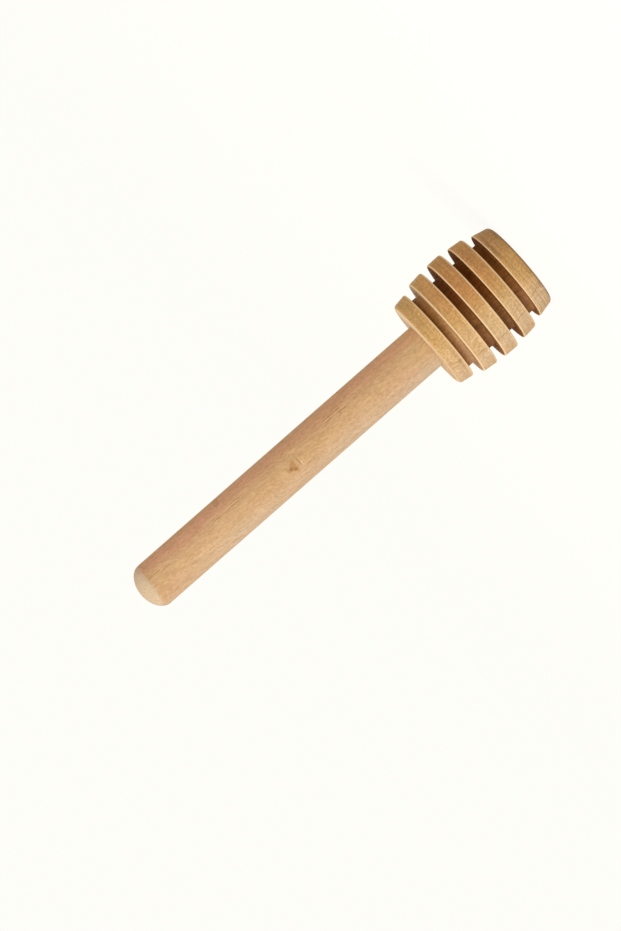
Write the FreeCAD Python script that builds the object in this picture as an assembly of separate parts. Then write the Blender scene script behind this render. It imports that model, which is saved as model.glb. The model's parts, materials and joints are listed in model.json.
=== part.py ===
import FreeCAD, Part
import math
import os

# A small wooden honey dipper: a grooved head and a straight handle, joined by a glued tenon.
# Sizes are in millimetres. It stands on its tip: Z runs up its axis, from zero at the middle
# of the flat tip to the top of the handle's domed end.

# Whole dipper
overall_length = 80.0

# Grooved head, turned from one block
head_diameter = 19.1
core_diameter = 13.8
tip_rib_width = 3.08
rib_width = 2.63
groove_width = 1.55
rim_edge_chamfer = 0.22
shoulder_edge_chamfer = 0.3

# Each rib's rim at its tip side and at its handle side, from the tip up, as shares of the
# head's diameter: the ribs swell to the middle one and shrink again, each with its own taper
rim_shares = (
    (0.80, 0.875),
    (0.945, 0.975),
    (1.0, 0.995),
    (0.98, 0.95),
    (0.88, 0.84),
)

# Straight handle with a domed end
handle_diameter = 7.85
dome_height = 2.7
arris_chamfer = 0.12

# Tenon on the handle, glued into a drilled socket in the head
tenon_diameter = 6.0
tenon_length = 10.0
tenon_chamfer = 0.6
glue_gap = 0.1
glue_pool_depth = 0.5
mouth_chamfer = 0.2
drill_point_angle = 118.0

# Radii and heights that follow from the sizes above
head_radius = head_diameter / 2
core_radius = core_diameter / 2
handle_radius = handle_diameter / 2
tenon_radius = tenon_diameter / 2
socket_radius = tenon_radius + glue_gap
drill_point_height = socket_radius / math.tan(math.radians(drill_point_angle / 2))
rib_pitch = groove_width + rib_width
head_length = tip_rib_width + rib_pitch * (len(rim_shares) - 1)
tenon_end = head_length - tenon_length
socket_floor = tenon_end - glue_pool_depth
dome_start = overall_length - dome_height


def at(radius, height):
    """A point of a half section, this far from the axis and this high."""
    return FreeCAD.Vector(radius, 0, height)


def eased(before, corner, after, chamfer):
    """The two points that cut a corner back by the chamfer along both of its sides."""
    to_before = (before - corner).normalize()
    to_after = (after - corner).normalize()
    return [corner + to_before * chamfer, corner + to_after * chamfer]


def straight_edges(points):
    """The straight edges from each point to the next."""
    return [Part.makeLine(here, there) for here, there in zip(points, points[1:])]


def turned(edges):
    """The solid that a half section sweeps in one full turn, its last side lying on the axis."""
    start = edges[0].firstVertex(True).Point
    end = edges[-1].lastVertex(True).Point
    section = Part.Face(Part.Wire(edges + [Part.makeLine(end, start)]))
    return section.revolve(FreeCAD.Vector(0, 0, 0), FreeCAD.Vector(0, 0, 1), 360)


def rib(bottom, top, rim_share_pair, top_chamfer):
    """One rib's side of the half section: its two faces, tapered rim and eased edges."""
    tip_side_share, handle_side_share = rim_share_pair
    root_below = at(core_radius, bottom)
    rim_below = at(head_radius * tip_side_share, bottom)
    rim_above = at(head_radius * handle_side_share, top)
    root_above = at(core_radius, top)
    lower_edge = eased(root_below, rim_below, rim_above, rim_edge_chamfer)
    upper_edge = eased(rim_below, rim_above, root_above, top_chamfer)
    return [root_below] + lower_edge + upper_edge + [root_above]


def grooved_head():
    """The head before drilling: ribs standing on a straight core, with square grooves between."""
    points = [at(0, 0)]
    bottom = 0
    top = tip_rib_width
    last = len(rim_shares) - 1
    for number, rim_share_pair in enumerate(rim_shares):
        top_chamfer = shoulder_edge_chamfer if number == last else rim_edge_chamfer
        points += rib(bottom, top, rim_share_pair, top_chamfer)
        bottom = top + groove_width
        top = bottom + rib_width
    points.append(at(0, head_length))
    return turned(straight_edges(points))


def socket():
    """The drilled hole in the head: eased mouth, straight wall and the drill's pointed floor."""
    points = [
        at(0, socket_floor - drill_point_height),
        at(socket_radius, socket_floor),
        at(socket_radius, head_length - mouth_chamfer),
        at(socket_radius + mouth_chamfer, head_length),
        at(0, head_length),
    ]
    return turned(straight_edges(points))


def dipper_head():
    """The grooved head with the tenon's socket drilled down from its shoulder."""
    return grooved_head().cut(socket()).removeSplitter()


def dome():
    """A quarter ellipse from the grip's side to the axis, as one weighted curve."""
    curve = Part.BezierCurve()
    side = at(handle_radius, dome_start)
    corner = at(handle_radius, overall_length)
    crown = at(0, overall_length)
    curve.setPoles([side, corner, crown])
    curve.setWeight(2, math.cos(math.radians(45)))
    return curve.toShape()


def handle_dowel():
    """The handle: tenon, square shoulder that seats on the head, straight grip and domed end."""
    points = [
        at(0, tenon_end),
        at(tenon_radius - tenon_chamfer, tenon_end),
        at(tenon_radius, tenon_end + tenon_chamfer),
        at(tenon_radius, head_length),
        at(handle_radius - arris_chamfer, head_length),
        at(handle_radius, head_length + arris_chamfer),
        at(handle_radius, dome_start),
    ]
    return turned(straight_edges(points) + [dome()])


def glue_film(handle):
    """The cured glue: all of the socket that the tenon leaves free."""
    return socket().cut(handle)


handle = handle_dowel()
pieces = {
    "dipper_head": dipper_head(),
    "handle_dowel": handle,
    "glue_film": glue_film(handle),
}

os.makedirs("parts", exist_ok=True)
for name, shape in pieces.items():
    solid = shape.Solids[0]
    solid.exportStep(os.path.join("parts", name + ".step"))
    print(name, "solids", len(shape.Solids), "valid", solid.isValid(), "volume mm3", round(solid.Volume, 2))
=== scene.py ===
# %% [markdown]
# This lesson dresses a small wooden honey dipper: a grooved head, a straight handle and the glue
# between them. The imported frame holds the solids at their real size, so the script starts by
# loading it and reads the boxes of the bare solids.

# %% Load the frame
import json
import math

import bmesh
import bpy
from mathutils import Matrix, Vector


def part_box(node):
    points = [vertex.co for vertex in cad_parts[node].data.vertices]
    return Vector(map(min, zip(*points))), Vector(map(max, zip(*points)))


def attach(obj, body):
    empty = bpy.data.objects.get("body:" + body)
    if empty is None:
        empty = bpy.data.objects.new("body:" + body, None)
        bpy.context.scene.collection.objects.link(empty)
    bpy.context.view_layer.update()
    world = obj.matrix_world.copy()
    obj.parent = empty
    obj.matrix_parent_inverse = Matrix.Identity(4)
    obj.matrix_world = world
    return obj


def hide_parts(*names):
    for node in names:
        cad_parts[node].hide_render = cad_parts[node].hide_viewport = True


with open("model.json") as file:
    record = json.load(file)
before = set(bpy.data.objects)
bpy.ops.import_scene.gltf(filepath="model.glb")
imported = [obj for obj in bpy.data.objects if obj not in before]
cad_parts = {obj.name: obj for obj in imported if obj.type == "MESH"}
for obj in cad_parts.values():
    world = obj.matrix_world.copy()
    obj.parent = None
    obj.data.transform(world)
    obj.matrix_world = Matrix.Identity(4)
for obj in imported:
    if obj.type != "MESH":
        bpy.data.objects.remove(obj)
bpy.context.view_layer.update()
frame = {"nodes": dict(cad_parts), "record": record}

MM = 0.001
TO_MM = 1000.0

# %% [markdown]
# The main sizes come from the frame, so each dressed piece fits its solid with nothing judged by
# eye. A round solid's box can be a hair wider one way than the other, and the head takes the
# narrower half width, so that it stays inside.

# %% Read the sizes
head_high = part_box("dipper_head")[1]
handle_low, handle_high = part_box("handle_dowel")
mounts = {mount["name"]: mount for mount in frame["record"]["mounts"]}

head_length = head_high.z
head_radius = head_high.y
overall_length = handle_high.z
tenon_end = handle_low.z
handle_radius = mounts["handle"]["dims"]["r_mm"] * MM
print("the head is", round(head_length * TO_MM, 2), "mm long")
print("the handle's radius is", round(handle_radius * TO_MM, 3), "mm")

# %% [markdown]
# The head is turned from one block: five tapered ribs, four square grooves between them, and a
# hole drilled into the shoulder for the handle. It could be five discs on a core, but one profile
# keeps it one block, as the real one is. The profile starts at the bottom of the hole, comes up
# its wall, goes out over the shoulder, down over rims and grooves, and ends in the middle of the
# tip. A box can't tell the widths of ribs and grooves, so they are written here in millimetres,
# as a turner reads them off a rule. Each rim has two shares of the full radius, at its tip side
# and at its handle side.

# %% The head's profile
core_radius = 6.9 * MM
tip_rib_width = 3.08 * MM
rib_width = 2.63 * MM
groove_width = 1.55 * MM
rim_shares = ((0.80, 0.875), (0.945, 0.975), (1.0, 0.995), (0.98, 0.95), (0.88, 0.84))

socket_radius = 3.1 * MM
socket_floor = tenon_end - 0.5 * MM
drill_half_angle = math.radians(59)
drill_point = socket_floor - socket_radius / math.tan(drill_half_angle)
mouth_chamfer = 0.2 * MM


def head_profile():
    """The profile of the head, the corners of its rims and the corners of its groove floors."""
    profile = [
        (0, drill_point),
        (socket_radius, socket_floor),
        (socket_radius, head_length - mouth_chamfer),
        (socket_radius + mouth_chamfer, head_length),
    ]
    rims = []
    floors = []
    top = head_length
    for number, (tip_share, handle_share) in reversed(list(enumerate(rim_shares))):
        bottom = top - (rib_width if number else tip_rib_width)
        rims += [(head_radius * handle_share, top), (head_radius * tip_share, bottom)]
        profile += rims[-2:]
        if number:
            floors += [(core_radius, bottom), (core_radius, bottom - groove_width)]
            profile += floors[-2:]
        top = bottom - groove_width
    return profile + [(0, 0)], rims, floors


profile, rims, floors = head_profile()
shoulder_edge = rims[:1]
handle_side_edges = rims[2::2]
tip_side_edges = rims[1:-1:2]
tip_edge = rims[-1:]
print("the head's profile has", len(profile), "corners")

# %% [markdown]
# Turned wood is a profile spun about the lathe's axis, and Blender's spin operator is just that
# lathe. The profile becomes a chain of vertices, spun a full turn and welded to itself. Both ends
# of the chain lie on the axis, where the spin leaves a stack of equal vertices, so doubles are
# merged before the normals are set to point out of the wood.

# %% The lathe
WELD = MM / 10000
HEAD_STEPS = 256


def spun(profile, steps):
    """A closed bmesh: the (radius, height) profile spun a full turn about Z."""
    shape = bmesh.new()
    chain = [shape.verts.new((radius, 0, height)) for radius, height in profile]
    links = [shape.edges.new(pair) for pair in zip(chain, chain[1:])]
    bmesh.ops.spin(
        shape, geom=chain + links, cent=(0, 0, 0), axis=(0, 0, 1),
        angle=math.tau, steps=steps, use_merge=True,
    )
    bmesh.ops.remove_doubles(shape, verts=shape.verts, dist=WELD)
    bmesh.ops.recalc_face_normals(shape, faces=shape.faces)
    return shape


head_shape = spun(profile, HEAD_STEPS)
print("the head's blank has", len(head_shape.faces), "faces")

# %% [markdown]
# A cutter leaves sharp corners and sandpaper takes them off. Bevelling each ring of edges by a
# fraction of a millimetre gives the rounded rims that catch the light. The shoulder and the tip,
# which rub most in use, are rounded more than the ribs between them.

# %% Ease the turned corners
NEAR = MM / 1000


def radius_of(vert):
    """How far a vertex is from the lathe's axis."""
    return math.hypot(vert.co.x, vert.co.y)


def is_ring_edge(edge):
    """True for an edge that runs round the axis, and not along the profile."""
    first, second = edge.verts
    level = abs(first.co.z - second.co.z) < NEAR
    return level and abs(radius_of(first) - radius_of(second)) < NEAR


def is_at(vert, corners):
    """True for a vertex at one of the (radius, height) corners."""
    radius = radius_of(vert)
    return any(abs(radius - out) < NEAR and abs(vert.co.z - height) < NEAR for out, height in corners)


def ease_corners(shape, corners, size, segments):
    """Rounds the rings at the given (radius, height) corners."""
    rings = [edge for edge in shape.edges if is_ring_edge(edge) and is_at(edge.verts[0], corners)]
    bmesh.ops.bevel(
        shape, geom=rings, offset=size, offset_type="OFFSET", segments=segments,
        profile=0.5, affect="EDGES", material=-1, clamp_overlap=True,
    )


easings = (
    (shoulder_edge, 0.6 * MM, 6),
    (handle_side_edges, 0.16 * MM, 4),
    (tip_side_edges, 0.22 * MM, 4),
    (tip_edge, 0.6 * MM, 6),
    (floors, 0.12 * MM, 2),
)
for corners, size, segments in easings:
    ease_corners(head_shape, corners, size, segments)
    print("rounded", len(corners), "corners by", round(size * TO_MM, 2), "mm")

# %% [markdown]
# The marks that follow are kept on vertices, and a mark can only fade from one vertex to the
# next. So every wide strip of faces is cut into strips about a quarter of a millimetre wide.

# %% Divide the wide strips
HEAD_STRIP = 0.25 * MM


def divide_profile(shape, spacing):
    """Cuts every strip of faces that is wider than the spacing into narrower ones."""
    by_cuts = {}
    for edge in shape.edges:
        cuts = int(edge.calc_length() / spacing)
        if cuts and not is_ring_edge(edge):
            by_cuts.setdefault(cuts, []).append(edge)
    for cuts, edges in sorted(by_cuts.items()):
        bmesh.ops.subdivide_edges(shape, edges=edges, cuts=cuts)


divide_profile(head_shape, HEAD_STRIP)
print("the head now has", len(head_shape.faces), "faces")

# %% [markdown]
# Sandpaper rubs edges paler, and these pale lines are also painted highlights, brighter than sanding
# alone leaves them, as where rounded edges catch the light. The pale lines could be painted by
# height in the finish, but an attribute on the vertices follows every rounding, whatever its size.
# Each line has a place on the profile, a reach, and the distance over which it fades.

# %% Mark the sanded edges and painted highlights
EDGE_MARK = "sanded_edge_and_highlight"
EDGE_START = 0.6
SHARP = MM / 1000
# The shoulder's line is a painted highlight spread over the shoulder face, which also lifts the
# handle's shadow there; the tip-side lines sit on the rims' flats, where a highlight falls.
shoulder_highlight_line = [(radius - 0.5 * MM, height - 0.01 * MM) for radius, height in shoulder_edge]
tip_side_lines = [(radius, height + 0.16 * MM) for radius, height in tip_side_edges]


def mark_edges(shape, lines, reach, fade):
    """Marks the vertices within a reach of the (radius, height) lines, fading out at its end."""
    mark = shape.verts.layers.float.get(EDGE_MARK) or shape.verts.layers.float.new(EDGE_MARK)
    for vert in shape.verts:
        radius = radius_of(vert)
        away = min(math.hypot(radius - out, vert.co.z - height) for out, height in lines)
        if away < reach:
            strength = min(1.0, (reach - away) / fade)
            vert[mark] = max(vert[mark], EDGE_START + (1.0 - EDGE_START) * strength)


sanded_and_highlight_lines = (
    (shoulder_highlight_line, 0.5 * MM, 0.6 * MM),
    (handle_side_edges, 0.17 * MM, SHARP),
    (tip_side_lines, 0.13 * MM, SHARP),
)
for lines, reach, fade in sanded_and_highlight_lines:
    mark_edges(head_shape, lines, reach, fade)
edge_layer = head_shape.verts.layers.float[EDGE_MARK]
print(sum(vert[edge_layer] > 0 for vert in head_shape.verts), "vertices lie on sanded edges")

# %% [markdown]
# The cutter that opens a groove scorches its end grain, and the grooves also get painted shade,
# darker than the lamp alone leaves them. Most grooves are darkened nearly all over, and the one
# next to the shoulder is darkened least, towards the tip, where the taller rib beside it is lit.
# A second attribute keeps how much, as one share at a groove's tip side and another at its handle
# side.

# %% Mark the scorched and shaded grooves
GROOVE_MARK = "sawn_groove"
SCORCH_AND_SHADE_SHARES = ((0.95, 1.0), (1.0, 1.0), (0.92, 1.0), (0.3, 1.0))


def mark_grooves(shape, grooves, shares):
    """Marks how scorched and shaded each groove is, from its tip side to its handle side."""
    mark = shape.verts.layers.float.new(GROOVE_MARK)
    for vert in shape.verts:
        for (low, high), (tip_share, handle_share) in zip(grooves, shares):
            if low - NEAR < vert.co.z < high + NEAR and radius_of(vert) > core_radius - NEAR:
                climb = (vert.co.z - low) / (high - low)
                vert[mark] = tip_share + (handle_share - tip_share) * climb


groove_ends = sorted(height for radius, height in floors)
grooves = list(zip(groove_ends[::2], groove_ends[1::2]))
mark_grooves(head_shape, grooves, SCORCH_AND_SHADE_SHARES)
print("grooves start at", [round(low * TO_MM, 2) for low, high in grooves], "mm")

# %% [markdown]
# The handle is a length of dowel. One end has a tenon, which goes down into the head's hole, and
# the other a dome. The dome is a quarter ellipse, so a short loop works it out as a formula.

# %% The straight handle
tenon_radius = 3.0 * MM
tenon_chamfer = 0.6 * MM
dome_height = 2.7 * MM
dome_start = overall_length - dome_height
HANDLE_STEPS = 160
DOME_STEPS = 24
HANDLE_STRIP = 0.4 * MM
ARRIS = 0.05 * MM
ARRIS_SEGMENTS = 2


def handle_profile():
    """The handle's profile from the tenon's end, over the shoulder and up the grip to the dome."""
    profile = [
        (0, tenon_end),
        (tenon_radius - tenon_chamfer, tenon_end),
        (tenon_radius, tenon_end + tenon_chamfer),
        (tenon_radius, head_length),
        (handle_radius, head_length),
    ]
    for step in range(DOME_STEPS + 1):
        angle = math.pi / 2 * step / DOME_STEPS
        profile.append((handle_radius * math.cos(angle), dome_start + dome_height * math.sin(angle)))
    profile[-1] = (0, overall_length)
    return profile


handle_shape = spun(handle_profile(), HANDLE_STEPS)
ease_corners(handle_shape, [(handle_radius, head_length)], ARRIS, ARRIS_SEGMENTS)
divide_profile(handle_shape, HANDLE_STRIP)
print("the handle has", len(handle_shape.faces), "faces")

# %% [markdown]
# A finish in Blender is a tree of nodes. Such trees are easier to read as short lines, so a few
# small helpers add a node, wire what is a socket and set what is a number.

# %% Helpers for node trees
def add_node(tree, kind, inputs=None, **settings):
    """Adds a shader node, sets its options, and wires or sets the inputs that are named."""
    made = tree.nodes.new("ShaderNode" + kind)
    for option, value in settings.items():
        setattr(made, option, value)
    for key, value in (inputs or {}).items():
        if isinstance(value, bpy.types.NodeSocket):
            tree.links.new(value, made.inputs[key])
        else:
            made.inputs[key].default_value = value
    return made


def reckon(tree, operation, first, second=0.0, third=0.0):
    """One step of arithmetic on two or three values."""
    return add_node(tree, "Math", {0: first, 1: second, 2: third}, operation=operation).outputs[0]


def combine(tree, operation, first, second):
    """One step of arithmetic on two vectors."""
    return add_node(tree, "VectorMath", {0: first, 1: second}, operation=operation).outputs["Vector"]


def axis_of(tree, vector, axis):
    """One coordinate of a vector."""
    return add_node(tree, "SeparateXYZ", {0: vector}).outputs[axis]


def vector_of(tree, **axes):
    """A vector with the coordinates that are named, and 0 for the others."""
    return add_node(tree, "CombineXYZ", axes).outputs["Vector"]


def length_of(tree, vector):
    """The length of a vector."""
    return add_node(tree, "VectorMath", {0: vector}, operation="LENGTH").outputs["Value"]


# %% [markdown]
# Nearly everything on wood fades softly from one tone to another. These helpers make soft steps,
# weaker masks, blends of two colours and smooth noise, which is all that the finishes need. The Mix
# node has sockets for numbers, vectors and colours, so those for colours are picked by number.

# %% Helpers for soft changes
FIRST_COLOUR = 6
SECOND_COLOUR = 7
MIXED_COLOUR = 2


def part_of(tree, mask, share):
    """A mask made weaker."""
    return reckon(tree, "MULTIPLY", mask, share)


def step_between(tree, value, low, high):
    """A smooth step from 0 at low to 1 at high."""
    step = add_node(
        tree, "MapRange", {"Value": value, "From Min": low, "From Max": high},
        interpolation_type="SMOOTHSTEP",
    )
    return step.outputs["Result"]


def graded(tree, value, start, stop, at_start, at_stop):
    """A number that goes smoothly from one at the start to another at the stop."""
    share = step_between(tree, value, start, stop)
    return reckon(tree, "MULTIPLY_ADD", share, at_stop - at_start, at_start)


def tint(tree, share, first, second, blend_type="MIX"):
    """The first colour, with a share of the second blended in."""
    mixed = add_node(
        tree, "Mix", {"Factor": share, FIRST_COLOUR: first, SECOND_COLOUR: second},
        data_type="RGBA", blend_type=blend_type,
    )
    return mixed.outputs[MIXED_COLOUR]


def mottle(tree, place, spots, detail=2.0, output="Fac"):
    """Smooth noise with a mean of a half, with so many spots per millimetre on each axis."""
    inputs = {"Vector": combine(tree, "MULTIPLY", place, spots), "Scale": 1.0, "Detail": detail}
    return add_node(tree, "TexNoise", inputs).outputs[output]


# %% [markdown]
# Both pieces are beech, a pale wood with fine pores. A flat pattern wrapped on a stick would look
# printed, so the figure is a solid one, in coordinates that follow the tree: round the pith, which
# lies outside these small pieces, out from it, and up the trunk. Then sides, ends and slopes each
# show the right cut through the wood. Slow noise makes the grain sway and wave a little.

# %% Coordinates of the tree
SWAY_SPOTS = (0.13, 0.13, 0.05)
SWAY_REACH = (2.0, 2.0, 0.0)
WAVE_SPOTS = (0.3, 0.3, 0.22)
WAVE_REACH = 1.6
NOISE_MEAN = 0.5


def new_group(name, inputs, outputs):
    """An empty shader node group with the named sockets, and its two ends."""
    group = bpy.data.node_groups.new(name, "ShaderNodeTree")
    for label, kind, value in inputs:
        socket = group.interface.new_socket(name=label, in_out="INPUT", socket_type=kind)
        if value is not None:
            socket.default_value = value
    for label in outputs:
        group.interface.new_socket(name=label, in_out="OUTPUT", socket_type="NodeSocketFloat")
    return group, group.nodes.new("NodeGroupInput").outputs, group.nodes.new("NodeGroupOutput").inputs


def tree_coordinates(group, given):
    """Millimetres round the pith, out from it and up the trunk, with the grain's sway and waves."""
    slow = mottle(group, given["Place"], SWAY_SPOTS, output="Color")
    sway = combine(group, "SUBTRACT", slow, (NOISE_MEAN,) * 3)
    sway = combine(group, "MULTIPLY", sway, SWAY_REACH)
    swayed = combine(group, "ADD", given["Place"], sway)
    from_pith = combine(group, "SUBTRACT", swayed, given["Pith"])
    axes = add_node(group, "SeparateXYZ", {0: from_pith}).outputs
    outwards = length_of(group, vector_of(group, X=axes["X"], Y=axes["Y"]))
    around = reckon(group, "ARCTAN2", axes["Y"], axes["X"])
    around = reckon(group, "MULTIPLY", around, length_of(group, given["Pith"]))
    around = reckon(group, "MULTIPLY_ADD", axes["Z"], given["Slope"], around)
    wave = mottle(group, given["Place"], WAVE_SPOTS)
    around = reckon(group, "MULTIPLY_ADD", wave, WAVE_REACH, around)
    return vector_of(group, X=around, Y=outwards, Z=axes["Z"]), outwards


# %% [markdown]
# Beech's figure has four parts: growth rings; rays, thin plates that stand on the rings and show
# as short dark spindles on the side of a stick; pores, drawn out into fine dashes; and wavy fibres.
# Both woods use them, so they are built once, as a node group with named inputs and outputs. Each
# noise pattern has its spots per millimetre round the pith, outwards and up, its detail, and for
# some a step that turns it into separate marks.

# %% Wood figure, a node group
LINE_START = 0.95
LINE_FULL = 0.985
LATE_POWER = 4.0
PATTERNS = {
    "Rays": ((3.4, 0.12, 0.9), 1.0, (0.62, 0.74)),
    "Pores": ((5.5, 5.5, 1.4), 1.0, (0.58, 0.74)),
    "Fibres": ((2.6, 2.6, 0.2), 3.0, None),
    "Dashes": ((4.4, 4.4, 1.6), 1.0, None),
    "Flecks": ((3.6, 3.6, 3.0), 1.0, None),
    "Drift": ((0.16, 0.16, 0.06), 2.0, (0.3, 0.7)),
}


def wood_figure_group():
    """Beech: masks for its rings and patterns, and a wave of odd and even years from -1 to 1."""
    group, given, shown = new_group(
        "wood_figure",
        [
            ("Place", "NodeSocketVector", None),
            ("Pith", "NodeSocketVector", (0.0, 40.0, 0.0)),
            ("Ring Width", "NodeSocketFloat", 4.0),
            ("Slope", "NodeSocketFloat", 0.0),
        ],
        ("Ring Lines", "Late Wood", "Odd Years", *PATTERNS),
    )
    spot, outwards = tree_coordinates(group, given)
    years = reckon(group, "DIVIDE", outwards, given["Ring Width"])
    phase = reckon(group, "FRACT", years)
    line_start = step_between(group, phase, LINE_START, LINE_FULL)
    line_end = step_between(group, phase, 1.0, LINE_FULL)
    masks = {
        "Ring Lines": reckon(group, "MULTIPLY", line_start, line_end),
        "Late Wood": reckon(group, "POWER", phase, LATE_POWER),
        "Odd Years": reckon(group, "SINE", reckon(group, "MULTIPLY", years, -math.pi)),
    }
    for label, (spots, detail, steps) in PATTERNS.items():
        pattern = mottle(group, spot, spots, detail)
        masks[label] = step_between(group, pattern, *steps) if steps else pattern
    for label, mask in masks.items():
        group.links.new(mask, shown[label])
    return group


wood_figure = wood_figure_group()
print("wood figure group has", len(wood_figure.nodes), "nodes")

# %% [markdown]
# The cutter and the sandpaper leave rings of their own. They follow the profile, so the pattern
# changes with height plus radius: that sum changes along a rim, along a groove's wall and along
# its floor, but stays nearly the same on the way round.

# %% Tool marks, a node group
MARK_DRIFT = (0.12, 0.12, 0.0)
UNSCALED = (1.0, 1.0, 1.0)


def tool_marks_group():
    """Fine rings left by the lathe: a value about a half that changes along the profile."""
    group, given, shown = new_group(
        "tool_marks",
        [("Place", "NodeSocketVector", None), ("Marks per mm", "NodeSocketFloat", 5.0)],
        ("Marks",),
    )
    axes = add_node(group, "SeparateXYZ", {0: given["Place"]}).outputs
    flat = vector_of(group, X=axes["X"], Y=axes["Y"])
    along = reckon(group, "ADD", length_of(group, flat), axes["Z"])
    along = reckon(group, "MULTIPLY", along, given["Marks per mm"])
    slow = add_node(group, "SeparateXYZ", {0: combine(group, "MULTIPLY", flat, MARK_DRIFT)}).outputs
    spot = vector_of(group, X=slow["X"], Y=slow["Y"], Z=along)
    group.links.new(mottle(group, spot, UNSCALED, detail=1.0), shown["Marks"])
    return group


tool_marks = tool_marks_group()
print("tool marks group has", len(tool_marks.nodes), "nodes")

# %% [markdown]
# The same functions dress both woods, from a set of colours and a few facts of the grain. First
# come the slow changes: zones that are browner, paler with a painted sheen, less red, or painted
# shade, the two tones of odd and even years, and a drift. A zone is the name of a colour, a way to
# blend it, a centre, how much each axis counts, and the distances from the centre at which the zone
# starts and is full.

# %% Slow changes of colour
DRIFT_SHARE = 0.4


def broad_colour(tree, place, figure, colours, grain):
    """The wood's slow changes: its zones, its years' two tones and its drift."""
    colour = colours["odd_year"]
    for zone, blend_type, centre, stretch, reach in grain["zones"]:
        away = combine(tree, "MULTIPLY", combine(tree, "SUBTRACT", place, centre), stretch)
        share = step_between(tree, length_of(tree, away), *reach)
        colour = tint(tree, share, colour, colours[zone], blend_type)
    even_year = step_between(tree, figure["Odd Years"], grain["year_blur"], -grain["year_blur"])
    colour = tint(tree, part_of(tree, even_year, grain["year_share"]), colour, colours["even_year"])
    return tint(tree, part_of(tree, figure["Drift"], DRIFT_SHARE), colour, colours["drift"])


# %% [markdown]
# Over these come the fine marks: late wood and a line at the end of each year, fibres that are
# darker and paler by turns, the lathe's marks, flecks, pores and rays. Fibres, marks and flecks are
# multiplied in, so that a pale zone stays pale under them. Cut ends show their fibres less.

# %% Fine marks
DARK_FIBRE = (0.56, 0.50, 0.39, 1)
PALE_FIBRE = (1.44, 1.50, 1.61, 1)
DASH_SHARE = 0.5
END_FIBRE_LOSS = 0.4


def grained_colour(tree, figure, marks, ends, colour, colours, grain):
    """Lays rings, fibres, tool marks, flecks, pores and rays over a broad colour."""
    for label, share in (("Late Wood", "late_share"), ("Ring Lines", "line_share")):
        colour = tint(tree, part_of(tree, figure[label], grain[share]), colour, colours["late"])

    threads = part_of(tree, figure["Fibres"], 1.0 - DASH_SHARE)
    threads = reckon(tree, "MULTIPLY_ADD", figure["Dashes"], DASH_SHARE, threads)
    fibre_tone = tint(tree, threads, DARK_FIBRE, PALE_FIBRE)
    fibre_share = grain["fibre_share"]
    fibre_share = reckon(tree, "MULTIPLY_ADD", ends, -END_FIBRE_LOSS * fibre_share, fibre_share)
    colour = tint(tree, fibre_share, colour, fibre_tone, "MULTIPLY")

    for pattern, strength in ((marks, grain["mark_tone"]), (figure["Flecks"], grain["fleck_tone"])):
        tone = reckon(tree, "SUBTRACT", pattern, NOISE_MEAN)
        tone = reckon(tree, "MULTIPLY_ADD", tone, strength, 1.0)
        colour = tint(tree, 1.0, colour, tone, "MULTIPLY")
    for label, share in (("Pores", "pore_share"), ("Rays", "ray_share")):
        colour = tint(tree, part_of(tree, figure[label], grain[share]), colour, colours["ray"])
    return colour


# %% [markdown]
# Put together, beech is its slow changes, paler wood on the cut ends, and the fine marks over both.
# The same patterns give a height for the bump: fibres stand up, rays and pores are tiny pits, and
# the lathe's marks are shallow rings.

# %% Beech, as colour and height
FIBRE_RISE = 0.5
PIT_DEPTH = 0.3


def beech(tree, place, path, ends, colours, grain):
    """The colour of beech, its grain's height and its fibres, from the grain's path and cut ends."""
    inputs = {"Place": path, "Pith": grain["pith"]}
    inputs.update({"Ring Width": grain["ring_width"], "Slope": grain["slope"]})
    figure = add_node(tree, "Group", inputs, node_tree=wood_figure).outputs
    inputs = {"Place": place, "Marks per mm": grain["marks_per_mm"]}
    marks = add_node(tree, "Group", inputs, node_tree=tool_marks).outputs["Marks"]
    colour = broad_colour(tree, place, figure, colours, grain)
    colour = tint(tree, ends, colour, colours["end"])
    colour = grained_colour(tree, figure, marks, ends, colour, colours, grain)

    height = part_of(tree, figure["Fibres"], FIBRE_RISE)
    for pits in ("Rays", "Pores"):
        height = reckon(tree, "SUBTRACT", height, part_of(tree, figure[pits], PIT_DEPTH))
    height = reckon(tree, "MULTIPLY_ADD", marks, grain["mark_height"], height)
    return colour, height, figure["Fibres"]


# %% [markdown]
# The dipper is sanded and left bare, with no oil or lacquer, so it is dull. The shader gets a high
# roughness that changes with the fibres, very little gloss and a shallow bump. Sawn surfaces, which
# no paper has reached, are rougher still.

# %% Dull sanded wood
GLOSS = 0.06
LEAST_ROUGH = 0.58
FIBRE_ROUGH = 0.16
BUMP_STRENGTH = 0.35
BUMP_DEPTH = 0.06 * MM


def new_finish(name):
    """A material, its node tree, the place in millimetres and the surface's direction."""
    material = bpy.data.materials.new(name)
    material.use_nodes = True
    tree = material.node_tree
    coordinates = add_node(tree, "TexCoord").outputs
    place = combine(tree, "MULTIPLY", coordinates["Object"], (TO_MM,) * 3)
    return material, tree, place, coordinates["Normal"]


def sanded(tree, colour, height, fibres, raw=0.0):
    """Wires a colour and a height to the shader as dull sanded wood, duller still where it is raw."""
    surface = tree.nodes["Principled BSDF"]
    surface.inputs["Specular IOR Level"].default_value = GLOSS
    bump = add_node(
        tree, "Bump", {"Strength": BUMP_STRENGTH, "Distance": BUMP_DEPTH, "Height": height},
    )
    roughness = reckon(tree, "MULTIPLY_ADD", fibres, FIBRE_ROUGH, LEAST_ROUGH)
    roughness = reckon(tree, "MAXIMUM", roughness, raw)
    tree.links.new(colour, surface.inputs["Base Color"])
    tree.links.new(roughness, surface.inputs["Roughness"])
    tree.links.new(bump.outputs["Normal"], surface.inputs["Normal"])


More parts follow.
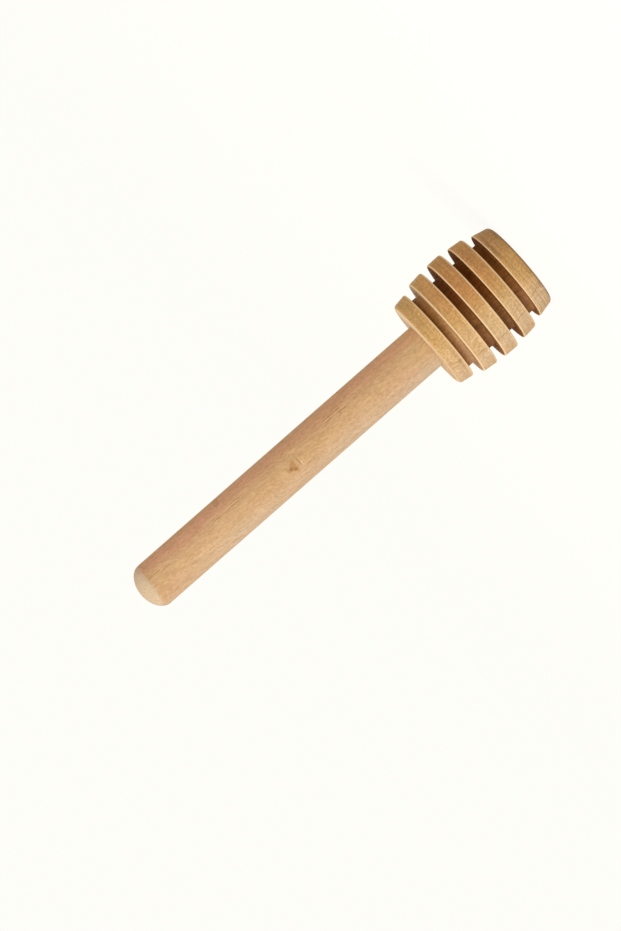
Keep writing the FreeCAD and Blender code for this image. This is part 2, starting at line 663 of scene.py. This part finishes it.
# %% [markdown]
# The head's sawn grooves are darkened brown, partly scorch and partly painted shade: most on the
# side away from the lamp and on their floors, less on their walls, and frayed fibres streak them.
# Its sanded edges are paler than the rest, partly sanding and partly painted highlight. Both read
# the marks that the mesh carries, so they stay where the cutter and the paper were.

# %% Scorch and painted shade, sanded edges and painted highlights
SCORCH_AND_SHADE_START = -7.0
SCORCH_AND_SHADE_FULL = 6.0
WALL_SPARED = 0.7
FRAYED_LEAST = 0.6
FRAYED_SPAN = 0.8
LIGHT_SCORCH_AND_SHADE = (0.61, 0.43, 0.29, 1)
DEEP_SCORCH_AND_SHADE = (0.355, 0.22, 0.10, 1)
SANDED_AND_HIGHLIGHT_SHARE = 0.9
SANDED_PALE_AND_HIGHLIGHT = (0.95, 0.66, 0.37, 1)


def scorch_shade_and_highlight(tree, place, normal, groove, fibres, colour):
    """Darkens the sawn grooves and their frayed fibres with scorch and painted shade, and pales the
    sanded edges with painted highlights.
    """
    wall = reckon(tree, "ABSOLUTE", axis_of(tree, normal, "Z"))
    most = reckon(tree, "MULTIPLY_ADD", wall, -WALL_SPARED, 1.0)
    burnt_and_shaded = step_between(tree, axis_of(tree, place, "X"), SCORCH_AND_SHADE_START, SCORCH_AND_SHADE_FULL)
    burnt_and_shaded = reckon(tree, "MINIMUM", burnt_and_shaded, most)
    char_and_shade = tint(tree, burnt_and_shaded, LIGHT_SCORCH_AND_SHADE, DEEP_SCORCH_AND_SHADE)
    frayed = reckon(tree, "MULTIPLY_ADD", fibres, FRAYED_SPAN, FRAYED_LEAST)
    char_and_shade = tint(tree, 1.0, char_and_shade, frayed, "MULTIPLY")
    colour = tint(tree, groove, colour, char_and_shade, "MULTIPLY")
    edge = add_node(tree, "Attribute", attribute_name=EDGE_MARK).outputs["Fac"]
    edge = part_of(tree, step_between(tree, edge, EDGE_START, 1.0), SANDED_AND_HIGHLIGHT_SHARE)
    return tint(tree, edge, colour, SANDED_PALE_AND_HIGHLIGHT)


# %% [markdown]
# No block of wood is the same all over. On this head the tool marks are coarser on the tip's rib,
# the years differ more in the young wood at the front, and the rings lean aside near the tip. Pale
# end grain also carries painted light: it is strongest at the front and on the side in the handle's
# shadow, to lift that shade on the shoulder. Each is a soft change along one axis, in millimetres
# from the middle of the tip. End grain also needs a face that is nearly level.

# %% How the head's wood changes
LEVEL_START = 0.8
LEVEL_FULL = 0.98
LEAN_START = 6.0
LEAN = 0.12


def coarse_at_tip(tree, place):
    """How much the tool marks show: plainly on the tip's rib, and less on the others."""
    height = axis_of(tree, place, "Z")
    return graded(tree, height, start=4.5, stop=3.2, at_start=-0.5, at_stop=-0.95)


def younger_wood(tree, place):
    """How much the years differ in tone: fully in the young wood at the front, less at the back."""
    depth = axis_of(tree, place, "Y")
    return graded(tree, depth, start=2.0, stop=-3.0, at_start=0.35, at_stop=1.0)


def end_grain_and_painted_light(tree, place, normal, groove):
    """How much pale end grain and painted light shows: on faces across the trunk, most at the front
    and on the side in the handle's shadow, none in a groove.
    """
    depth = axis_of(tree, place, "Y")
    across = axis_of(tree, place, "X")
    front = graded(tree, depth, start=3.0, stop=-3.0, at_start=0.7, at_stop=1.0)
    side = graded(tree, across, start=-4.0, stop=1.0, at_start=0.3, at_stop=1.0)
    share = reckon(tree, "MULTIPLY", front, side)
    share = reckon(tree, "MULTIPLY", share, reckon(tree, "SUBTRACT", 1.0, groove))
    level = reckon(tree, "ABSOLUTE", axis_of(tree, normal, "Z"))
    return reckon(tree, "MULTIPLY", share, step_between(tree, level, LEVEL_START, LEVEL_FULL))


def leaning_at_tip(tree, place):
    """Coordinates in which the growth rings lean aside towards the tip."""
    below = reckon(tree, "SUBTRACT", LEAN_START, axis_of(tree, place, "Z"))
    below = reckon(tree, "MAXIMUM", below, 0.0)
    return combine(tree, "ADD", place, vector_of(tree, X=part_of(tree, below, LEAN)))


# %% [markdown]
# The head's block is yellow beech. Its pith lies well behind it, so one growth ring crosses all
# five rims low on one side. A browner heart shows in the middle of the other side. The side past
# the ring is paler, partly paler wood and partly a painted sheen along the lit side, and a patch
# near the tip, on the shaded side, is painted shade, darker and greyer.

# %% The head's wood
def head_finish():
    """Yellow beech with tool marks, grooves darkened by scorch and painted shade, sanded edges with
    painted highlights, and painted shade and sheen on its sides.
    """
    material, tree, place, normal = new_finish("head_wood")
    groove = add_node(tree, "Attribute", attribute_name=GROOVE_MARK).outputs["Fac"]
    colours = {
        "odd_year": (0.645, 0.378, 0.145, 1),
        "even_year": (0.70, 0.49, 0.30, 1),
        "heart": (0.60, 0.27, 0.095, 1),
        "pale_and_sheen": (0.69, 0.46, 0.238, 1),
        "painted_shade_near_tip": (0.86, 0.84, 1.0, 1),
        "drift": (0.61, 0.34, 0.125, 1),
        "late": (0.40, 0.20, 0.07, 1),
        "ray": (0.38, 0.18, 0.055, 1),
        # The head's end colour is paler than its end grain, as painted light on the shoulder.
        "end": (0.90, 0.675, 0.44, 1),
    }
    grain = {
        "pith": (-11.9, 33.3, 0.0), "ring_width": 40.5 / 7, "slope": 0.2,
        "year_blur": 0.7, "year_share": younger_wood(tree, place),
        "zones": (
            ("heart", "MIX", (5.0, 0.0, 9.0), (1.0, 0.0, 0.75), (7.5, 2.0)),
            ("pale_and_sheen", "MIX", (-7.0, 0.0, 15.0), (1.0, 0.0, 0.2), (7.0, 2.5)),
            ("painted_shade_near_tip", "MULTIPLY", (6.0, 0.0, 2.5), (1.0, 0.0, 0.8), (4.0, 1.0)),
        ),
        "late_share": 0.1, "line_share": 0.5,
        "fibre_share": 0.8, "fleck_tone": 0.7, "pore_share": 0.2, "ray_share": 0.2,
        "marks_per_mm": 2.4, "mark_tone": coarse_at_tip(tree, place), "mark_height": 1.0,
    }
    ends = end_grain_and_painted_light(tree, place, normal, groove)
    colour, height, fibres = beech(tree, place, leaning_at_tip(tree, place), ends, colours, grain)
    colour = scorch_shade_and_highlight(tree, place, normal, groove, fibres, colour)
    sanded(tree, colour, height, fibres, groove)
    return material


head_wood = head_finish()
print("head wood uses", len(head_wood.node_tree.nodes), "nodes")

# %% [markdown]
# The handle is a stick of pinker beech with a small knot at the front: the stub of a twig. The
# fibres part and flow round it like water round a post, which has a neat formula: the distance
# across the grain shrinks by the knot's radius squared over the distance squared. Along the whole
# stick the fibres also bow a little to one side.

# %% Fibres that flow round a knot
KNOT_ACROSS = -0.6
KNOT_HEIGHT = 48.6
KNOT_RADIUS = 0.8
KNOT_STRETCH = 0.55
BOW_MIDDLE = 42.5
BOW_BEND = 0.0255
FRONT_START = 0.0
FRONT_FULL = -1.5


def from_spot(tree, place, across, height, stretch=1.0):
    """Signed distances from a spot on the front, across the grain and along it."""
    beside = reckon(tree, "SUBTRACT", axis_of(tree, place, "X"), across)
    above = reckon(tree, "SUBTRACT", axis_of(tree, place, "Z"), height)
    return beside, reckon(tree, "MULTIPLY", above, stretch)


def distance(tree, beside, above):
    """The length of a step across and along the grain."""
    return length_of(tree, vector_of(tree, X=beside, Z=above))


def on_front(tree, place):
    """1 on the handle's front and 0 on its back."""
    return step_between(tree, axis_of(tree, place, "Y"), FRONT_START, FRONT_FULL)


def flow_round_knot(tree, place):
    """Coordinates in which straight fibres bow a little along the stick and flow round the knot."""
    beside, above = from_spot(tree, place, KNOT_ACROSS, KNOT_HEIGHT, KNOT_STRETCH)
    away = reckon(tree, "MAXIMUM", distance(tree, beside, above), KNOT_RADIUS)
    shrink = reckon(tree, "POWER", reckon(tree, "DIVIDE", KNOT_RADIUS, away), 2.0)
    moved = reckon(tree, "MULTIPLY", reckon(tree, "MULTIPLY", beside, shrink), on_front(tree, place))
    _, from_middle = from_spot(tree, place, 0.0, BOW_MIDDLE, BOW_BEND)
    moved = reckon(tree, "MULTIPLY_ADD", from_middle, from_middle, moved)
    return combine(tree, "SUBTRACT", place, vector_of(tree, X=moved))


# %% [markdown]
# The knot itself shows as a small brown wedge with a ragged outline, a flat end and two darker
# spots. Just below its flat end the wood has a short crack, with a paler raised lip. All are made of
# soft steps on distances from a spot, in millimetres, so they need no picture. The wedge comes first.

# %% The knot
KNOT_POINT = 49.5
KNOT_LENGTH = 1.55
KNOT_TAPER = 0.72
KNOT_RAGGED = 0.9
RAGGED_SPOTS = (2.2, 0.5, 2.2)
SIDE_BLUR = 0.2
END_BLUR = 0.12


def knot_wedge(tree, place):
    """1 on the knot, which is a ragged wedge with a flat end, and 0 off it."""
    ragged = reckon(tree, "SUBTRACT", mottle(tree, place, RAGGED_SPOTS), NOISE_MEAN)
    beside, above = from_spot(tree, place, KNOT_ACROSS, KNOT_POINT)
    spread = reckon(tree, "MULTIPLY_ADD", above, KNOT_TAPER, reckon(tree, "ABSOLUTE", beside))
    spread = reckon(tree, "MULTIPLY_ADD", ragged, KNOT_RAGGED, spread)
    wedge = step_between(tree, spread, SIDE_BLUR, -SIDE_BLUR)
    flat = reckon(tree, "MULTIPLY_ADD", ragged, KNOT_RAGGED, above)
    flat = step_between(tree, flat, -KNOT_LENGTH - END_BLUR, -KNOT_LENGTH + END_BLUR)
    return reckon(tree, "MULTIPLY", reckon(tree, "MULTIPLY", wedge, flat), on_front(tree, place))


# %% [markdown]
# The crack and its lip are two short bars across the grain. A bar is a spot on the front, then half
# its width and half its thickness, each with the distance over which it fades. The darker spots of
# the knot have a place across, a height and a reach. A share says how strongly each colour shows.

# %% The knot's spots and the crack
KNOT_SPOTS = ((-1.05, 48.35, 0.55), (-0.65, 48.95, 0.55))
SPOT_CORE = 0.2
CRACK = ((-0.4, 47.2), (0.95, 0.5), (0.13, 0.1))
LIP = ((-0.95, 46.94), (0.6, 0.4), (0.14, 0.1))
CRACK_DEPTH = 2.0
KNOT_BROWN = (0.52, 0.26, 0.10, 1)
SPOT_BROWN = (0.33, 0.14, 0.042, 1)
CRACK_BROWN = (0.38, 0.20, 0.075, 1)
LIP_PALE = (0.86, 0.64, 0.40, 1)
KNOT_SHARE = 0.7
SPOT_SHARE = 0.6
CRACK_SHARE = 0.8
LIP_SHARE = 0.6


def between_ends(tree, value, half_length, blur):
    """1 where a signed distance is within a half length, fading to 0 over a blur at both ends."""
    return step_between(tree, reckon(tree, "ABSOLUTE", value), half_length, half_length - blur)


def bar(tree, place, spot, wide, thick):
    """1 on a bar across the grain and 0 off it, from its spot and two half lengths with blurs."""
    beside, above = from_spot(tree, place, *spot)
    thickness = between_ends(tree, above, *thick)
    width = between_ends(tree, beside, *wide)
    both = reckon(tree, "MULTIPLY", thickness, width)
    return reckon(tree, "MULTIPLY", both, on_front(tree, place))


def add_knot(tree, place, colour, height):
    """Draws the knot with its darker spots, and the short crack beyond it with its raised lip."""
    wedge = knot_wedge(tree, place)
    colour = tint(tree, part_of(tree, wedge, KNOT_SHARE), colour, KNOT_BROWN)
    for across, spot_height, reach in KNOT_SPOTS:
        spot = distance(tree, *from_spot(tree, place, across, spot_height))
        spot = reckon(tree, "MULTIPLY", step_between(tree, spot, reach, reach * SPOT_CORE), wedge)
        colour = tint(tree, part_of(tree, spot, SPOT_SHARE), colour, SPOT_BROWN)
    crack = bar(tree, place, *CRACK)
    colour = tint(tree, part_of(tree, crack, CRACK_SHARE), colour, CRACK_BROWN)
    lip = bar(tree, place, *LIP)
    colour = tint(tree, part_of(tree, lip, LIP_SHARE), colour, LIP_PALE)
    return colour, reckon(tree, "SUBTRACT", height, part_of(tree, crack, CRACK_DEPTH))


# %% [markdown]
# Along one growth ring of the handle the pores crowd together in short streaks of fine dark lines.
# A wave across the grain gives evenly spaced lines, and noise bends and breaks them, so that they
# look grown and not ruled. Each streak has a place across, a height and a half length.

# %% Streaks of pores
STREAKS = (
    (1.45, 60.6, 4.0), (1.6, 39.4, 1.2), (1.6, 36.6, 2.2), (1.45, 47.0, 1.3), (1.2, 74.4, 2.0),
)
STREAK_HALF_WIDTH = 0.85
STREAK_SPACING = 0.45
STREAK_CORE = 0.4
BEND_SPOTS = (0.7, 0.7, 0.2)
BEND = 7.0
LINE_SLOPE = (0.0, 0.9)
BREAK_SPOTS = (2.2, 1.0, 0.55)
BREAK_SLOPE = (0.35, 0.55)
PALE_STREAK = (1.07, 1.07, 1.07, 1)
DARK_STREAK = (0.72, 0.65, 0.54, 1)


def streak_tone(tree, place):
    """The tone of fine dark and pale lines along the grain, bent and broken."""
    bend = part_of(tree, mottle(tree, place, BEND_SPOTS, detail=0.0), BEND)
    across = axis_of(tree, place, "X")
    waves = reckon(tree, "MULTIPLY_ADD", across, math.tau / STREAK_SPACING, bend)
    lines = step_between(tree, reckon(tree, "SINE", waves), *LINE_SLOPE)
    breaks = step_between(tree, mottle(tree, place, BREAK_SPOTS, detail=0.0), *BREAK_SLOPE)
    return tint(tree, reckon(tree, "MULTIPLY", lines, breaks), PALE_STREAK, DARK_STREAK)


def add_streaks(tree, place, colour):
    """Draws the fine lines along short stretches of one growth ring."""
    tone = streak_tone(tree, place)
    for across, height, half_length in STREAKS:
        beside, above = from_spot(tree, place, across, height)
        beside = reckon(tree, "DIVIDE", beside, STREAK_HALF_WIDTH)
        above = reckon(tree, "DIVIDE", above, half_length)
        streak = step_between(tree, distance(tree, beside, above), 1.0, STREAK_CORE)
        streak = reckon(tree, "MULTIPLY", streak, on_front(tree, place))
        colour = tint(tree, streak, colour, tone, "MULTIPLY")
    return colour


# %% [markdown]
# Two more changes make up the handle's wood. The dome shows paler end grain, which starts a little
# higher on one side. At the foot, next to the head, a zone takes some red out of the wood, to offset
# the reddish light that the head throws back on it, and the years differ less in tone.

# %% The handle's wood
DOME_SIDE_START = -0.5
DOME_SIDE_FULL = -4.0
DOME_SIDE_RISE = 0.9
DOME_PALE_START = 77.0
DOME_PALE_FULL = 77.86
DOME_SHARE = 0.8


def domed_end(tree, place):
    """How much end grain shows: on the dome, from a little higher on one side."""
    side = step_between(tree, axis_of(tree, place, "X"), DOME_SIDE_START, DOME_SIDE_FULL)
    height = reckon(tree, "MULTIPLY_ADD", side, -DOME_SIDE_RISE, axis_of(tree, place, "Z"))
    return part_of(tree, step_between(tree, height, DOME_PALE_START, DOME_PALE_FULL), DOME_SHARE)


def alike_at_foot(tree, place):
    """How much the years differ in tone: fully along the stick, and less at its foot."""
    height = axis_of(tree, place, "Z")
    return graded(tree, height, start=19.0, stop=26.0, at_start=0.35, at_stop=1.0)


def handle_finish():
    """Pinker beech with a knot and streaks, its fibres a little aslant."""
    material, tree, place, _ = new_finish("handle_wood")
    colours = {
        "odd_year": (0.675, 0.418, 0.217, 1),
        "even_year": (0.745, 0.385, 0.225, 1),
        "pale_and_sheen": (0.665, 0.49, 0.34, 1),
        "less_red_at_foot": (0.93, 0.99, 0.98, 1),
        "drift": (0.63, 0.37, 0.175, 1),
        "late": (0.42, 0.20, 0.08, 1),
        "ray": (0.36, 0.17, 0.06, 1),
        "end": (0.70, 0.535, 0.36, 1),
    }
    grain = {
        "pith": (18.0, 26.0, 0.0), "ring_width": 33.7 / 13, "slope": -0.12,
        "year_blur": 1.0, "year_share": alike_at_foot(tree, place),
        "zones": (
            # Paler along the lit side's edge, partly paler wood and partly a painted sheen.
            ("pale_and_sheen", "MIX", (-4.0, 0.0, 20.0), (1.0, 0.0, 0.025), (3.8, 0.0)),
            ("less_red_at_foot", "MULTIPLY", (0.0, 0.0, 19.0), (0.0, 0.0, 1.0), (7.5, 2.5)),
        ),
        "late_share": 0.03, "line_share": 0.05,
        "fibre_share": 1.0, "fleck_tone": 0.15, "pore_share": 0.22, "ray_share": 0.25,
        "marks_per_mm": 3.0, "mark_tone": 0.02, "mark_height": 0.3,
    }
    path = flow_round_knot(tree, place)
    colour, height, fibres = beech(tree, place, path, domed_end(tree, place), colours, grain)
    colour = add_streaks(tree, place, colour)
    colour, height = add_knot(tree, place, colour, height)
    sanded(tree, colour, height, fibres)
    return material


handle_wood = handle_finish()
print("handle wood uses", len(handle_wood.node_tree.nodes), "nodes")

# %% [markdown]
# Now each shape becomes a piece with its wood. A piece rides on a body of the frame, here the only
# one, and hides the plain solid whose place it takes.

# %% The two wooden pieces
def finished(shape, name, material, node):
    """Makes a bmesh the piece that stands for a CAD node, smooth-shaded, riding on the root."""
    mesh = bpy.data.meshes.new(name)
    shape.to_mesh(mesh)
    shape.free()
    mesh.polygons.foreach_set("use_smooth", [True] * len(mesh.polygons))
    mesh.materials.append(material)
    piece = bpy.data.objects.new(name, mesh)
    bpy.context.scene.collection.objects.link(piece)
    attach(piece, "root")
    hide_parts(node)
    triangles = sum(len(face.vertices) - 2 for face in mesh.polygons)
    print(name, "has", triangles, "triangles")


finished(head_shape, "grooved_head", head_wood, "dipper_head")
finished(handle_shape, "straight_handle", handle_wood, "handle_dowel")

# %% [markdown]
# The glue is a thin cured film round the tenon, hidden inside the joint. Its solid is already the
# right shape, so it stays, and only gets a dull cream finish with a little mottling.

# %% The glue
GLUE_PALE = (0.74, 0.64, 0.44, 1)
GLUE_DEEP = (0.62, 0.50, 0.32, 1)
GLUE_ROUGH = 0.6


def glue_finish():
    """Cured wood glue: dull cream with a little mottling."""
    material, tree, place, _ = new_finish("cured_glue")
    colour = tint(tree, mottle(tree, place, UNSCALED), GLUE_PALE, GLUE_DEEP)
    surface = tree.nodes["Principled BSDF"]
    tree.links.new(colour, surface.inputs["Base Color"])
    surface.inputs["Roughness"].default_value = GLUE_ROUGH
    return material


glue = frame["nodes"]["glue_film"]
glue.data.materials.clear()
glue.data.materials.append(glue_finish())
print("glue keeps its solid with", len(glue.data.polygons), "faces")

# %% [markdown]
# The floor is a pale plane under the tip. To the camera it shows as plain white, with a little of
# the real shading added in, so that it keeps the dipper's shadow. The light that it throws back up
# is dimmer, so the dipper is lit more from above than from below.

# %% The floor
FLOOR_SIZE = 20.0
PAPER_WHITE = (0.99, 0.985, 0.945)
SHADE_KEPT = 0.12
FLOOR_BOUNCE = 0.6
AMBIENT = 0.77


def white(share):
    """A share of the paper's white, as a colour."""
    return (*(channel * share for channel in PAPER_WHITE), 1)


def seen_directly(tree):
    """1 for rays from the camera and mirror-like rays, and 0 for the light that falls on things."""
    path = add_node(tree, "LightPath").outputs
    seen = reckon(tree, "MAXIMUM", path["Is Camera Ray"], path["Is Glossy Ray"])
    return reckon(tree, "MAXIMUM", seen, path["Is Transmission Ray"])


def show_or_cast(tree, cast, shown):
    """One shader for the light that falls on things, and another for what is seen directly."""
    inputs = {0: seen_directly(tree), 1: cast.outputs[0], 2: shown.outputs[0]}
    return add_node(tree, "MixShader", inputs).outputs[0]


def floor_finish():
    """Pale matt floor that shows as white with a share of its own shading."""
    material = bpy.data.materials.new("pale_floor")
    material.use_nodes = True
    tree = material.node_tree
    tree.nodes.remove(tree.nodes["Principled BSDF"])
    bounce = add_node(tree, "BsdfDiffuse", {"Color": white(FLOOR_BOUNCE)})
    shade = add_node(tree, "BsdfDiffuse", {"Color": white(SHADE_KEPT)})
    glow = add_node(tree, "Emission", {"Color": white(1.0 - SHADE_KEPT * AMBIENT), "Strength": 1.0})
    shown = add_node(tree, "AddShader", {0: shade.outputs[0], 1: glow.outputs[0]})
    surface = tree.nodes["Material Output"].inputs["Surface"]
    tree.links.new(show_or_cast(tree, bounce, shown), surface)
    return material


floor_shape = bmesh.new()
bmesh.ops.create_grid(floor_shape, x_segments=1, y_segments=1, size=FLOOR_SIZE / 2)
floor_mesh = bpy.data.meshes.new("floor")
floor_shape.to_mesh(floor_mesh)
floor_shape.free()
floor_mesh.materials.append(floor_finish())
floor = bpy.data.objects.new("floor", floor_mesh)
bpy.context.scene.collection.objects.link(floor)
print("floor is", FLOOR_SIZE, "m wide")

# %% [markdown]
# The world is plain white all round, as in a studio with white walls. What it casts on the dipper
# is dimmer than what the camera sees, so the background can be white with less light on the wood.

# %% The world
world = bpy.data.worlds.new("studio")
bpy.context.scene.world = world
world.use_nodes = True
sky = world.node_tree
shown_sky = sky.nodes["Background"]
shown_sky.inputs["Color"].default_value = white(1.0)
cast_sky = add_node(sky, "Background", {"Color": white(AMBIENT), "Strength": 1.0})
sky.links.new(show_or_cast(sky, cast_sky, shown_sky), sky.nodes["World Output"].inputs["Surface"])
print("world casts", AMBIENT, "of the white that it shows")

# %% [markdown]
# One large soft lamp lights the dipper from the front, from above and from the left, as seen
# with the handle upright. A wide disk gives the soft edge between light and shade on round wood.

# %% The lamp
LAMP_DISTANCE = 0.6
LAMP_SIZE = 0.5
LAMP_POWER = 1.8
lamp_direction = Vector((-0.59, -0.70, 0.39)).normalized()
aim = Vector((0, 0, overall_length / 2))
lamp_data = bpy.data.lights.new("soft_lamp", "AREA")
lamp_data.shape = "DISK"
lamp_data.size = LAMP_SIZE
lamp_data.energy = LAMP_POWER
lamp = bpy.data.objects.new("soft_lamp", lamp_data)
lamp.location = aim + lamp_direction * LAMP_DISTANCE
lamp.rotation_euler = (-lamp_direction).to_track_quat("-Z", "Y").to_euler()
bpy.context.scene.collection.objects.link(lamp)
print("lamp at", [round(x, 3) for x in lamp.location])

# %% [markdown]
# The photograph looks straight at the dipper's side from about half a metre, with the picture
# turned so that the handle points down to the left. The camera stands level with the handle's
# middle, looks at the point in the middle of the picture, and rolls by the dipper's tilt.

# %% The camera
FRAME_HEIGHT = 931
SENSOR = 36.0
CLIP_START = 0.01
TILT = math.radians(41.2413)
PIXELS_PER_MM = 6.2925
CAMERA_DISTANCE = 465.0 * MM
CAMERA_HEIGHT = 50.0 * MM
centre_along = 46.22 * MM
centre_across = -2.17 * MM

eye = Vector((0, -CAMERA_DISTANCE, CAMERA_HEIGHT))
target = Vector((centre_across, 0, centre_along))
forward = (target - eye).normalized()
up = Vector((math.cos(TILT), 0, -math.sin(TILT)))
up = (up - forward * up.dot(forward)).normalized()
right = forward.cross(up)
camera_data = bpy.data.cameras.new("camera")
camera_data.sensor_width = SENSOR
camera_data.lens = PIXELS_PER_MM * CAMERA_DISTANCE * TO_MM / FRAME_HEIGHT * SENSOR
camera_data.clip_start = CLIP_START
camera = bpy.data.objects.new("camera", camera_data)
camera.matrix_world = Matrix.Translation(eye) @ Matrix((right, up, -forward)).transposed().to_4x4()
bpy.context.scene.collection.objects.link(camera)
bpy.context.scene.camera = camera
bpy.context.scene.view_settings.view_transform = "Standard"
print("lens", round(camera_data.lens, 1), "mm")
